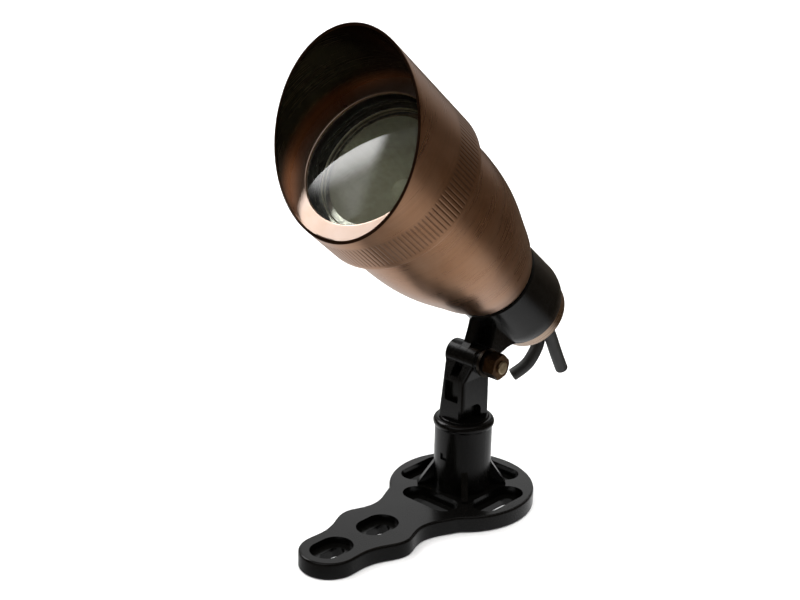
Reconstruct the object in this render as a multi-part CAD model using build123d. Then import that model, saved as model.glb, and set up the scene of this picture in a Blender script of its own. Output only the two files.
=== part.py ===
from build123d import *
import math
import os

os.makedirs("parts", exist_ok=True)

# ---------------------------------------------------------------- dimensions
# Frame: +Z up, origin on the post axis at the underside of the base plate.
# The tail of the base and the beam point towards -Y, the tilt axis runs along X.

# base plate with its post
PLATE_T = 6.2            # plate thickness
DISC_R = 27.5            # round end under the post
TAIL_TIP = 70.8          # centre of the tail's rounded tip (towards -Y)
TAIL_R = 11.0            # radius of that tip
TAIL_HALF = [(63.8, 10.85), (56.8, 12.5), (50.4, 15.3), (45.6, 15.6), (41.4, 14.1),
             (36.0, 12.75), (29.0, 14.2), (23.6, 16.65), (DISC_R * 0.5 ** 0.5, DISC_R * 0.5 ** 0.5)]   # distance along the tail, half width
SLOT_L, SLOT_W = 17.0, 12.4       # countersunk mouth of a tail slot
SLOT_Y = (69.8, 46.4)             # tail slot centres
THRU_L, THRU_W = 11.0, 5.2        # through slot in its floor
RING_R = 17.9                     # centre circle of the four slots round the post
RING_L, RING_W = 24.0, 10.6       # mouth of those slots
RING_THRU_L, RING_THRU_W = 17.0, 5.2
LEDGE_Z, TAIL_LEDGE_Z = 2.6, 3.6  # floor level of the recesses round the post and in the tail
POST_R = 10.8
POST_TOP = 34.4
BEAD_R, BEAD_RC, BEAD_Z = 1.9, 9.6, 32.8
RIB_T, RIB_REACH, RIB_TOP = 2.4, 16.8, 16.2
SOCKET_R, SOCKET_FLOOR = 8.05, 12.0

# knuckle: stem with a two-eared fork
PLUG_R, PLUG_END = 8.0, 12.6
FLANGE_R, FLANGE_Z, STEM_Z = 9.2, 32.2, 35.0   # flange sunk in the post's mouth, stem foot
STEM_HX, STEM_XL, STEM_HY = 5.75, 6.6, 7.5      # +X side, -X side, front and rear
SHOULDER_XL, SHOULDER_Z = 4.8, 51.5             # stem narrows on -X up to its shoulder
EAR_HX, EAR_XL, EAR_R = 6.65, 7.8, 5.2
BOSS_R, BOSS_X = 4.7, 8.2
FORK_SLOT = 1.9
FORK_FLOOR = 52.5
HINGE_Y, HINGE_Z = 1.8, 58.1
BOLT_R = 2.5
BOLT_HEAD_R = 4.2        # countersunk head, flush in the -X ear

# head, given along its own axis: s runs from the pivot end to the mouth,
# n runs up and back, square to the axis
TILT = 40.9              # beam above the horizon at rest
HINGE_S, HINGE_N = -8.0, -29.43
COLLAR_R, COLLAR_S0, COLLAR_S1 = 17.4, -24.8, 3.0
NECK_R = 12.0
ARM_HX = 6.6
TONGUE_HX, TONGUE_R = 1.75, 5.2
NUT_R, NUT_END = 14.7, -30.5
LEAD_R, LEAD_X = 2.55, 2.75
GROMMET_R, GROMMET_END = 6.15, -32.3
BODY_R = 28.8
SPIGOT_R, SPIGOT_S0, SPIGOT_S1 = 28.0, 70.9, 79.0

# glare shroud: tube cut off aslant
SHROUD_R, SHROUD_WALL = 31.75, 0.95
SHROUD_S0 = 71.2
LIP_R, LIP_S, LIP_T = 24.74, 90.4, 0.8
CUT_S, CUT_SLOPE = 106.0, 0.51
LENS_R, LENS_T = 27.6, 2.78
VIEW_R, VIEW_S = 22.8, 83.2      # inner edge of the polished spacer behind the glass
LAMP_S = 6.0                     # lamp and holder sit this far forward of their own datum

tilt = math.radians(TILT)
AX = Vector(0, -math.cos(tilt), math.sin(tilt))
UP = Vector(0, math.sin(tilt), math.cos(tilt))
HINGE = Vector(0, HINGE_Y, HINGE_Z)
HEAD_ORIGIN = HINGE - AX * HINGE_S - UP * HINGE_N
HEAD = Plane(origin=HEAD_ORIGIN, x_dir=(1, 0, 0), z_dir=AX)
LAMP = HEAD * Pos(0, 0, LAMP_S)
LENS_S1 = LIP_S - LIP_T - 0.02
LENS_S0 = LENS_S1 - LENS_T


# ---------------------------------------------------------------- helpers
def turned(*pts):
    """Ring turned about Z from (radius, height) points."""
    return revolve(Plane.XZ * make_face(Polyline(*pts, close=True)), Axis.Z)


def turned_edges(edges):
    return revolve(Plane.XZ * make_face(edges), Axis.Z)


def tube_x(r, x0, x1, y=0.0, z=0.0):
    return Plane(origin=(x0, y, z), x_dir=(0, 1, 0), z_dir=(1, 0, 0)) * extrude(Circle(r), x1 - x0)


def rod(r, z0, z1, x=0.0, y=0.0):
    return Pos(x, y, z0) * extrude(Circle(r), z1 - z0)


def soften(part, edges, radius):
    """Round edges, with smaller radii where the full one does not fit."""
    for r in (radius, radius * 0.6, radius * 0.3):
        try:
            out = fillet(edges, r)
            if out.is_valid and out.volume > 0.5 * part.volume:
                return out
        except Exception:
            continue
    return part


def side_plate(pts, hx):
    """Plate in the YZ plane from (y, z) points, centred on X."""
    return extrude(Plane.YZ * make_face(Polyline(*pts, close=True)), hx, both=True)


def save(name, shape):
    if isinstance(shape, (list, ShapeList)):
        shape = Compound(children=list(shape))
    export_step(shape, f"parts/{name}.step")


# ---------------------------------------------------------------- base plate
right = [(w, -y) for y, w in TAIL_HALF]
left = [(-w, -y) for y, w in TAIL_HALF]
tip = CenterArc((0, -TAIL_TIP), TAIL_R, 180, 180)
near = Spline((TAIL_R, -TAIL_TIP), *right, tangents=[(0, 1), (1, 1)])
far = Spline((-TAIL_R, -TAIL_TIP), *left, tangents=[(0, 1), (-1, 1)])
plan = make_face([tip, near, CenterArc((0, 0), DISC_R, -45, 270), far])
plate = extrude(plan, PLATE_T)
plate = soften(plate, plate.edges().group_by(Axis.Z)[-1], 0.9)
plate = soften(plate, plate.edges().group_by(Axis.Z)[0], 0.4)

post = rod(POST_R, PLATE_T - 1.0, POST_TOP - 1.6)
bead = Pos(0, 0, BEAD_Z) * Torus(BEAD_RC, BEAD_R)
post_cap = rod(BEAD_RC, BEAD_Z - 1.0, POST_TOP)
rib_pts = [(7.0, PLATE_T - 1.0), (RIB_REACH, PLATE_T - 1.0), (RIB_REACH, PLATE_T + 0.6),
           (POST_R - 0.2, RIB_TOP), (7.0, RIB_TOP)]
rib = extrude(Plane.XZ * make_face(Polyline(*rib_pts, close=True)), RIB_T / 2, both=True)
base = plate + post + bead + post_cap
for k in range(4):
    base = base + Rot(0, 0, 45 + 90 * k) * rib
base = base - rod(SOCKET_R, SOCKET_FLOOR, POST_TOP + 3) - rod(FLANGE_R + 0.3, FLANGE_Z - 0.2, POST_TOP + 3)
base = base - Pos(-0.4, -POST_R, 20.8) * Box(3.0, 1.8, 2.6)
for y in SLOT_Y:
    base = base - Pos(0, -y, TAIL_LEDGE_Z) * extrude(SlotOverall(SLOT_L, SLOT_W, rotation=90), PLATE_T)
    base = base - Pos(0, -y, -1) * extrude(SlotOverall(THRU_L, THRU_W, rotation=90), PLATE_T)
ring_mouth = extrude(SlotOverall(RING_L, RING_W), PLATE_T)
ring_thru = extrude(SlotOverall(RING_THRU_L, RING_THRU_W), PLATE_T)
for k in range(4):
    base = base - Rot(0, 0, 90 * k) * Pos(0, -RING_R, LEDGE_Z) * ring_mouth
    base = base - Rot(0, 0, 90 * k) * Pos(0, -RING_R, -1) * ring_thru
save("base_plate", base)

# ---------------------------------------------------------------- knuckle
# rounded stem that widens into the ears, rear stepped in below the ears
foot = Pos((STEM_HX - STEM_XL) / 2, 0, STEM_Z) * RectangleRounded(STEM_HX + STEM_XL, 2 * STEM_HY, 1.2)
brow = Pos((EAR_HX - EAR_XL) / 2, HINGE_Y, HINGE_Z - 0.8) * RectangleRounded(EAR_HX + EAR_XL - 0.4, 2 * EAR_R - 0.5, 1.2)
waist = Pos((STEM_HX - SHOULDER_XL) / 2, -0.05, SHOULDER_Z) * RectangleRounded(STEM_HX + SHOULDER_XL, 2 * STEM_HY - 0.3, 1.2)
stem = loft([foot, waist]) + loft([waist, brow])
rear = side_plate([(STEM_HY + 3.0, 47.0), (STEM_HY - 0.1, 48.6), (HINGE_Y + EAR_R * 0.7071, HINGE_Z - EAR_R * 0.7071),
                   (HINGE_Y + EAR_R, HINGE_Z + 1.0), (STEM_HY + 3.0, HINGE_Z + 1.0)], 20)
ear = tube_x(EAR_R, -EAR_XL, EAR_HX, HINGE_Y, HINGE_Z)
ear = soften(ear, ear.edges().filter_by(GeomType.CIRCLE), 1.0)
stem = (stem - rear) + ear
fork_cut = Pos(0, 0, FORK_FLOOR) * Box(2 * FORK_SLOT, 40, 40, align=(Align.CENTER, Align.CENTER, Align.MIN))
stem = stem - fork_cut
boss = tube_x(BOSS_R, EAR_HX - 0.5, BOSS_X, HINGE_Y, HINGE_Z)
flange = rod(FLANGE_R, FLANGE_Z, FLANGE_Z + 3.0)
flange = soften(flange, flange.edges().group_by(Axis.Z)[-1], 0.5)
plug = rod(PLUG_R, PLUG_END, FLANGE_Z + 0.5)
plug = soften(plug, plug.edges().group_by(Axis.Z)[0], 0.8)
fork = stem + boss + flange + plug
# pocket in the front face, arched notch low on the +X face
pocket = Box(6.4, 4.6, 8.0)
pocket = soften(pocket, pocket.edges().filter_by(Axis.Y), 0.7)
pocket = Pos(-0.2, -STEM_HY, 46.5) * pocket
notch = Pos(STEM_HX + 1.2, -2.6, 38.0) * Box(7.0, 11.0, 5.9)
notch = soften(notch, [e for e in notch.edges().filter_by(Axis.X) if e.center().Z > 36], 3.2)
fork = fork - pocket - notch
fork = fork - tube_x(BOLT_R + 0.1, -20, 20, HINGE_Y, HINGE_Z)
cone_depth = BOLT_HEAD_R - BOLT_R
sink_at = Plane(origin=(-EAR_XL, HINGE_Y, HINGE_Z), x_dir=(0, 1, 0), z_dir=(1, 0, 0))
fork = fork - sink_at * Pos(0, 0, -0.5) * Cone(BOLT_HEAD_R + 0.55, BOLT_R + 0.05, cone_depth + 0.5,
                                              align=(Align.CENTER, Align.CENTER, Align.MIN))
RING_Z = 20.0
fork = fork - Pos(0, 0, RING_Z) * turned((6.2, -1.1), (9.0, -1.1), (9.0, 1.1), (6.2, 1.1))
save("knuckle_fork", fork)
save("stem_ring", Pos(0, 0, RING_Z) * Torus(7.1, 0.88))

# pivot bolt along X: countersunk head on -X, washers and nut on +X
at_hinge = Plane(origin=(0, HINGE_Y, HINGE_Z), x_dir=(0, 1, 0), z_dir=(1, 0, 0))


def hex_x(flats, x0, x1):
    body = extrude(RegularPolygon(flats / math.sqrt(3), 6, rotation=15), x1 - x0)
    dome = Pos(0, 0, -0.01) * Cone(flats / 2 + 0.25 + (x1 - x0), flats / 2 + 0.25, x1 - x0 + 0.02,
                                   align=(Align.CENTER, Align.CENTER, Align.MIN))
    return at_hinge * Pos(0, 0, x0) * (body & dome)


WASH_X, LOCK_X, NUT_X0, NUT_X1, BOLT_X1 = BOSS_X + 1.2, BOSS_X + 2.4, BOSS_X + 2.4, BOSS_X + 7.2, BOSS_X + 8.2
bolt_end = tube_x(BOLT_R, -EAR_XL + 0.05, BOLT_X1, HINGE_Y, HINGE_Z)
bolt_end = soften(bolt_end, bolt_end.edges().group_by(Axis.X)[-1], 0.5)
bolt_head = sink_at * Pos(0, 0, 0.05) * Cone(BOLT_HEAD_R, BOLT_R, cone_depth, align=(Align.CENTER, Align.CENTER, Align.MIN))
drive = sink_at * Pos(0, 0, -1) * extrude(RegularPolygon(3.0 / math.sqrt(3), 6), 2.6)
save("pivot_bolt", bolt_end + bolt_head - drive)


def washer_x(r_in, r_out, x0, x1):
    return tube_x(r_out, x0, x1, HINGE_Y, HINGE_Z) - tube_x(r_in, x0 - 1, x1 + 1, HINGE_Y, HINGE_Z)


save("flat_washer", washer_x(BOLT_R + 0.1, 5.6, BOSS_X, WASH_X))
lock = washer_x(BOLT_R + 0.1, 4.5, WASH_X, LOCK_X)
lock = lock - Pos((WASH_X + LOCK_X) / 2, HINGE_Y, HINGE_Z + 4) * Rot(0, 0, 25) * Box(6, 0.5, 4)
save("lock_washer", lock)
nut = hex_x(8.8, NUT_X0, NUT_X1) - tube_x(BOLT_R, -20, 40, HINGE_Y, HINGE_Z)
save("pivot_nut", nut)

# ---------------------------------------------------------------- swivel collar with its arm
ring = turned_edges([Polyline((NECK_R + 0.05, COLLAR_S0), (NECK_R + 0.05, COLLAR_S1),
                              (COLLAR_R - 0.6, COLLAR_S1), (COLLAR_R, COLLAR_S1 - 0.6), (COLLAR_R, -17.6)),
                     Spline((COLLAR_R, -17.6), (16.85, -21.6), (15.3, COLLAR_S0), tangents=[(0, -1), (-0.75, -0.66)]),
                     Line((15.3, COLLAR_S0), (NECK_R + 0.05, COLLAR_S0))])
arm_pts = [(-13.2, -4.7), (-15.6, -5.5), (-19.2, -7.2), (-22.7, -8.5), (-26.0, -9.4),
           (-26.4, -11.6), (-24.6, -14.8), (-21.8, -16.9), (-19.2, -18.4), (-17.4, -20.0), (-16.0, -21.9), (-13.2, -22.8)]
arm = side_plate(arm_pts, ARM_HX)
arm = soften(arm, [e for e in arm.edges().filter_by(GeomType.LINE)
                   if abs(abs(e.center().X) - ARM_HX) < 0.01 and e.center().Y < -15.8], 0.7)
hinge_room = tube_x(EAR_R + 0.7, -20, 20, HINGE_N, HINGE_S)
arm = arm - hinge_room
tongue_pts = [(-13.2, 0.6), (-16.5, -0.2), (-21.5, -2.0), (-26.0, -3.3), (HINGE_N, HINGE_S + TONGUE_R),
              (HINGE_N, HINGE_S), (HINGE_N, HINGE_S - TONGUE_R), (-26.0, -13.6), (-21.0, -14.6), (-13.2, -15.0)]
tongue = side_plate(tongue_pts, TONGUE_HX) + tube_x(TONGUE_R, -TONGUE_HX, TONGUE_HX, HINGE_N, HINGE_S)
collar = ring + (arm + tongue - rod(NECK_R + 0.05, -60, 60))
collar = collar - tube_x(BOLT_R + 0.05, -20, 20, HINGE_N, HINGE_S)
save("swivel_collar", HEAD * collar)

# ---------------------------------------------------------------- housing
outer = Spline((16.9, 3.6), (18.6, 7.0), (20.5, 12.0), (22.8, 20.0), (26.1, 32.0), (28.3, 46.0), (BODY_R, 58.0),
               tangents=[(0.62, 0.78), (0.0, 1)])
housing = turned_edges([
    outer,
    Polyline((BODY_R, 58.0), (BODY_R, SPIGOT_S0 - 0.3), (BODY_R - 0.3, SPIGOT_S0), (SPIGOT_R, SPIGOT_S0),
             (SPIGOT_R, 74.2), (26.9, 74.2), (26.9, 75.8), (SPIGOT_R, 75.8), (SPIGOT_R, SPIGOT_S1 - 0.4),
             (SPIGOT_R - 0.4, SPIGOT_S1), (24.4, SPIGOT_S1), (24.4, 56.0), (22.0, 42.0), (22.0, 24.0 + LAMP_S),
             (15.0, 24.0 + LAMP_S), (13.0, 10.0), (5.5, 8.0), (5.5, -28.8), (10.0, -28.8),
             (10.0, -24.7), (NECK_R - 0.3, -24.7), (NECK_R, -24.4), (NECK_R, COLLAR_S1 + 0.02), (16.3, COLLAR_S1 + 0.02), (16.9, 3.6))])
for x in (-18.2, 18.2):
    housing = housing - rod(1.5, 15.4 + LAMP_S, 30 + LAMP_S, x)
save("housing", HEAD * housing)
save("housing_seal", HEAD * Pos(0, 0, 75.0) * Torus(27.58, 0.67))

rear_nut = turned((10.05, COLLAR_S0 - 0.02), (NUT_R - 0.5, COLLAR_S0 - 0.02), (NUT_R, COLLAR_S0 - 0.6), (NUT_R, NUT_END + 1.6),
                  (NUT_R - 0.5, NUT_END + 0.6), (NUT_R - 1.7, NUT_END), (GROMMET_R + 0.02, NUT_END),
                  (GROMMET_R + 0.02, -28.85), (10.05, -28.85))
save("rear_nut", HEAD * rear_nut)

grommet = turned((0, -28.9), (GROMMET_R, -28.9), (GROMMET_R, -31.2), (GROMMET_R - 0.8, GROMMET_END), (0, GROMMET_END))
for x in (-LEAD_X, LEAD_X):
    grommet = grommet - rod(LEAD_R + 0.01, -40, -20, x)
save("cable_grommet", HEAD * grommet)

# ---------------------------------------------------------------- leads
# control points: out of the grommet along the head axis, then down
def local(x, n, s):
    return HEAD_ORIGIN + Vector(1, 0, 0) * x + UP * n + AX * s


LEAD_ROUTES = {
    "lead_1": [local(-LEAD_X, 0, -28.9), local(-LEAD_X, 0, -34.5), Vector(-2.7, 45.3, 59.0), Vector(-2.8, 47.9, 54.2),
               Vector(-2.9, 47.5, 48.9), Vector(-3.0, 44.4, 44.7), Vector(-4.6, 41.9, 40.3), Vector(-8.05, 38.6, 36.9)],
    "lead_2": [local(LEAD_X, 0, -28.9), local(LEAD_X, 0, -36.5), Vector(2.7, 47.3, 54.8), Vector(2.7, 51.6, 46.0),
               Vector(2.7, 56.2, 37.7)],
}


def cord(name, pts):
    radii = []
    for a, b, c in zip(pts, pts[1:], pts[2:]):
        turn = math.radians((b - a).get_angle(c - b))
        radii.append(0.45 * min((b - a).length, (c - b).length) / math.tan(turn / 2))
    path = FilletPolyline(*pts, radius=radii)
    section = Plane(origin=pts[0], z_dir=(pts[1] - pts[0])) * Circle(LEAD_R)
    solid = sweep(section, path=path)
    print(name, "radii", [round(r, 1) for r in radii], "length", round(path.length, 2),
          "volume ratio", round(solid.volume / (math.pi * LEAD_R ** 2 * path.length), 4))
    save(name, solid)


for name, pts in LEAD_ROUTES.items():
    print(name, [tuple(round(v, 3) for v in tuple(p)) for p in pts])
    cord(name, pts)

# ---------------------------------------------------------------- lamp holder
HOLD0, HOLD1 = 20.0, 36.0
holder = turned((0, HOLD0), (10.6, HOLD0), (11.4, HOLD0 + 0.8), (11.4, 25.2), (13.2, 25.2), (13.2, 27.0), (11.4, 27.0),
                (11.4, HOLD1 - 0.8), (10.6, HOLD1), (0, HOLD1))
for x in (-2.65, 2.65):
    holder = holder - rod(0.85, 27.5, 40, x)
save("lamp_holder", LAMP * holder)
bracket = Pos(0, 0, 24.6) * Box(41.6, 11.0, 1.2)
bracket = soften(bracket, bracket.edges().filter_by(Axis.Z), 2.4)
bracket = bracket + rod(14.6, 24.0, 25.2)
bracket = bracket - rod(11.45, 20, 30)
for x in (-18.2, 18.2):
    bracket = bracket - rod(1.6, 20, 30, x)
save("holder_bracket", LAMP * bracket)
screws = []
for x in (-18.2, 18.2):
    head = Pos(x, 0, 25.2) * turned((0, 0), (2.6, 0), (2.6, 0.9), (1.7, 1.7), (0, 1.7))
    head = head - Pos(x, 0, 26.7) * Box(0.7, 8, 1.2)
    screws.append(LAMP * (head + rod(1.48, 16.0, 25.3, x)))
save("bracket_screws", screws)
save("holder_leads", [HEAD * rod(LEAD_R, -28.85, HOLD0 + LAMP_S - 0.02, x) for x in (-LEAD_X, LEAD_X)])

# ---------------------------------------------------------------- lamp
lamp_base = Pos(0, 0, 43.6) * Box(15.6, 9.2, 15.0)
lamp_base = soften(lamp_base, lamp_base.edges().filter_by(Axis.Z), 1.5)
save("lamp_base", LAMP * lamp_base)
save("lamp_pins", [LAMP * rod(0.78, 28.6, 36.1, x) for x in (-2.65, 2.65)])
refl_out = Spline((9.4, 51.1), (11.6, 53.4), (17.0, 60.4), (21.2, 67.4), (23.6, 73.05), tangents=[(0.5, 0.86), (0.3, 0.95)])
refl_in = Spline((22.2, 73.9), (19.4, 67.6), (15.4, 60.6), (10.4, 54.4), (7.0, 52.4), tangents=[(-0.3, -0.95), (-0.8, -0.6)])
reflector = turned_edges([refl_out,
                          Polyline((23.6, 73.05), (25.3, 73.05), (25.3, 75.4), (25.0, 75.8), (23.5, 75.8), (23.5, 74.2), (22.2, 74.2), (22.2, 73.9)),
                          refl_in,
                          Polyline((7.0, 52.4), (7.0, 51.1), (9.4, 51.1))])
save("lamp_reflector", LAMP * reflector)
save("lamp_cover", LAMP * turned((0, 74.2), (23.4, 74.2), (23.4, 75.4), (23.0, 75.8), (0, 75.8)))
save("lamp_bezel", LAMP * turned((20.6, 75.82), (22.7, 75.82), (22.7, 76.06), (22.62, 76.14), (20.68, 76.14), (20.6, 76.06)))
capsule = turned_edges([Polyline((0, 51.1), (4.6, 51.1), (4.6, 60.5)),
                        CenterArc((0, 60.5), 4.6, 0, 90),
                        Line((0, 65.1), (0, 51.1))])
save("lamp_capsule", LAMP * capsule)

# ---------------------------------------------------------------- shroud with lens
bore_r = SHROUD_R - SHROUD_WALL
shroud = turned((28.3, SHROUD_S0), (SHROUD_R - 0.4, SHROUD_S0), (SHROUD_R, SHROUD_S0 + 0.4), (SHROUD_R, 130.0), (bore_r, 130.0),
                (bore_r, LIP_S + 0.4), (bore_r - 0.4, LIP_S), (LIP_R + 0.4, LIP_S), (LIP_R, LIP_S - 0.4), (LIP_R, LIP_S - LIP_T),
                (27.8, LIP_S - LIP_T), (27.8, 79.6), (28.3, 79.6))
cut_dir = Vector(0, -CUT_SLOPE, 1).normalized()
cutter = Plane(origin=(0, 0, CUT_S), x_dir=(1, 0, 0), z_dir=cut_dir) * Pos(0, 0, 40) * Box(200, 200, 80)
shroud = shroud - cutter
save("shroud", HEAD * shroud)
save("lens", HEAD * turned((0, LENS_S0), (LENS_R - 0.3, LENS_S0), (LENS_R, LENS_S0 + 0.3), (LENS_R, LENS_S1 - 0.3),
                           (LENS_R - 0.3, LENS_S1), (0, LENS_S1)))
save("lens_gasket", HEAD * turned((24.4, LENS_S0 - 0.6), (27.7, LENS_S0 - 0.6), (27.7, LENS_S0), (24.4, LENS_S0)))
save("lens_spacer", HEAD * turned((27.7, LENS_S0 - 0.62), (24.4, LENS_S0 - 0.62), (24.4, VIEW_S + 0.4),
                                  (24.0, VIEW_S), (VIEW_R + 0.15, VIEW_S), (VIEW_R, VIEW_S - 0.15), (VIEW_R, 82.62), (27.7, 82.62)))
save("lens_ring", HEAD * turned((25.9, 81.6), (27.8, 81.6), (27.8, 82.6), (25.9, 82.6)))
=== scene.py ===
import math

import bmesh
import bpy
from mathutils import Matrix, Vector


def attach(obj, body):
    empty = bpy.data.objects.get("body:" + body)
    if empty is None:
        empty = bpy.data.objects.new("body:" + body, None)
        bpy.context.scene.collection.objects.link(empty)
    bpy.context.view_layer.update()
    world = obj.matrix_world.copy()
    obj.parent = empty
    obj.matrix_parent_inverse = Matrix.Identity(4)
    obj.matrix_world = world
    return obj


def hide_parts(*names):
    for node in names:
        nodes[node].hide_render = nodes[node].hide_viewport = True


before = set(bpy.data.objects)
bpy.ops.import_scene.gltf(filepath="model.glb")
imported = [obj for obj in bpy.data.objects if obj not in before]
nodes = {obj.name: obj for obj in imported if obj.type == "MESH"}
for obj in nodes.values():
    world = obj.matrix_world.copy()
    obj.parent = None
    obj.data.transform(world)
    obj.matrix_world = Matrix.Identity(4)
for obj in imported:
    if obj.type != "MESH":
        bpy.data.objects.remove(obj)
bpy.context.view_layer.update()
scene = bpy.context.scene
MM = 0.001

# ---------------------------------------------------------------- head frame
# local x = X, local y = up and back, local z = along the beam
TILT = math.radians(40.9)
AX = Vector((0.0, -math.cos(TILT), math.sin(TILT)))
UP = Vector((0.0, math.sin(TILT), math.cos(TILT)))
HINGE = Vector((0.0, 1.8, 58.1)) * MM
HEAD_ORIGIN = HINGE + AX * 8.0 * MM + UP * 29.43 * MM
HEAD = Matrix(((1, 0, 0, HEAD_ORIGIN.x), (0, UP.y, AX.y, HEAD_ORIGIN.y), (0, UP.z, AX.z, HEAD_ORIGIN.z), (0, 0, 0, 1)))
LAMP_S = 6.0


def link(obj):
    scene.collection.objects.link(obj)
    return obj


# ---------------------------------------------------------------- camera
cam_data = bpy.data.cameras.new("camera")
cam_data.lens = 72.0
cam_data.sensor_width = 36.0
cam_data.clip_start, cam_data.clip_end = 0.01, 100.0
camera = link(bpy.data.objects.new("camera", cam_data))
right, up, back = Vector((0.7328, 0.6802, 0.0192)), Vector((-0.2533, 0.2465, 0.9355)), Vector((0.6315, -0.6904, 0.3529))
turn = Matrix((right, up, back)).transposed().to_quaternion()
turn.normalize()
camera.rotation_mode = "QUATERNION"
camera.rotation_quaternion = turn
camera.location = (0.35062, -0.42009, 0.28637)
scene.camera = camera


# ---------------------------------------------------------------- materials
class Look:
    """One node material: a Principled shader and short calls that add nodes before it."""

    def __init__(self, name, **sockets):
        self.mat = bpy.data.materials.new(name)
        self.mat.use_nodes = True
        self.tree = self.mat.node_tree
        self.tree.nodes.clear()
        self.out = self.tree.nodes.new("ShaderNodeOutputMaterial")
        self.bsdf = self.tree.nodes.new("ShaderNodeBsdfPrincipled")
        self.tree.links.new(self.bsdf.outputs[0], self.out.inputs[0])
        for k, v in sockets.items():
            self.set(k.replace("_", " "), v)

    def set(self, socket, value):
        s = self.bsdf.inputs[socket]
        if isinstance(value, bpy.types.NodeSocket):
            self.tree.links.new(value, s)
        elif isinstance(value, (tuple, list)) and len(value) == 3 and s.type == "RGBA":
            s.default_value = (*value, 1.0)
        else:
            s.default_value = value

    def node(self, kind, ins=None, **attrs):
        n = self.tree.nodes.new("ShaderNode" + kind)
        for k, v in attrs.items():
            setattr(n, k, v)
        for k, v in (ins or {}).items():
            s = n.inputs[k]
            if isinstance(v, bpy.types.NodeSocket):
                self.tree.links.new(v, s)
            elif isinstance(v, (tuple, list)) and s.type == "RGBA" and len(v) == 3:
                s.default_value = (*v, 1.0)
            else:
                s.default_value = v
        return n

    def coords(self, scale=(1, 1, 1), rotation=(0, 0, 0)):
        tex = self.node("TexCoord")
        return self.node("Mapping", {"Vector": tex.outputs["Object"], "Scale": scale, "Rotation": rotation}).outputs[0]

    def head_coords(self, scale=(1, 1, 1)):
        """Object coordinates turned so that z runs along the beam from the head's origin."""
        tex = self.node("TexCoord")
        turned = self.node("Mapping", {"Vector": tex.outputs["Object"], "Rotation": (TILT - math.pi / 2, 0, 0),
                                       "Location": (0, -UP.dot(HEAD_ORIGIN), -AX.dot(HEAD_ORIGIN))})
        return self.node("Mapping", {"Vector": turned.outputs[0], "Scale": scale}).outputs[0]

    def round_tangent(self):
        """Direction of marks that run round the head's axis."""
        geo = self.node("NewGeometry")
        inner = self.node("VectorTransform", {0: geo.outputs["Normal"]}, vector_type="NORMAL", convert_from="WORLD", convert_to="OBJECT")
        cross = self.node("VectorMath", {0: tuple(AX), 1: inner.outputs[0]}, operation="CROSS_PRODUCT")
        safe = self.node("VectorMath", {0: cross.outputs[0], 1: (0.002, 0.0, 0.0)}, operation="ADD")
        return self.node("VectorTransform", {0: safe.outputs[0]}, vector_type="VECTOR", convert_from="OBJECT", convert_to="WORLD").outputs[0]

    def noise(self, vector, scale, detail=2.0, rough=0.5, distortion=0.0):
        return self.node("TexNoise", {"Vector": vector, "Scale": scale, "Detail": detail, "Roughness": rough, "Distortion": distortion}).outputs[0]

    def ramp(self, fac, *stops):
        n = self.node("ValToRGB", {0: fac})
        e = n.color_ramp.elements
        while len(e) < len(stops):
            e.new(0.5)
        for el, (p, c) in zip(e, stops):
            el.position = p
            el.color = (*c, 1.0) if isinstance(c, (tuple, list)) else (c, c, c, 1.0)
        return n.outputs[0]

    def mix(self, fac, a, b, mode="MIX"):
        n = self.node("Mix", data_type="RGBA", blend_type=mode)
        for i, v in ((0, fac), (6, a), (7, b)):
            if isinstance(v, bpy.types.NodeSocket):
                self.tree.links.new(v, n.inputs[i])
            elif isinstance(v, (tuple, list)):
                n.inputs[i].default_value = (*v, 1.0)
            else:
                n.inputs[i].default_value = v
        return n.outputs[2]

    def math(self, op, a, b=0.0, clamp=False):
        n = self.node("Math", operation=op, use_clamp=clamp)
        for i, v in ((0, a), (1, b)):
            if isinstance(v, bpy.types.NodeSocket):
                self.tree.links.new(v, n.inputs[i])
            else:
                n.inputs[i].default_value = v
        return n.outputs[0]

    def rescale(self, value, lo, hi, a=0.0, b=1.0):
        return self.node("MapRange", {"Value": value, "From Min": lo, "From Max": hi, "To Min": a, "To Max": b}).outputs[0]

    def bump(self, height, strength, distance):
        n = self.node("Bump", {"Height": height, "Strength": strength, "Distance": distance})
        self.set("Normal", n.outputs[0])


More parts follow.
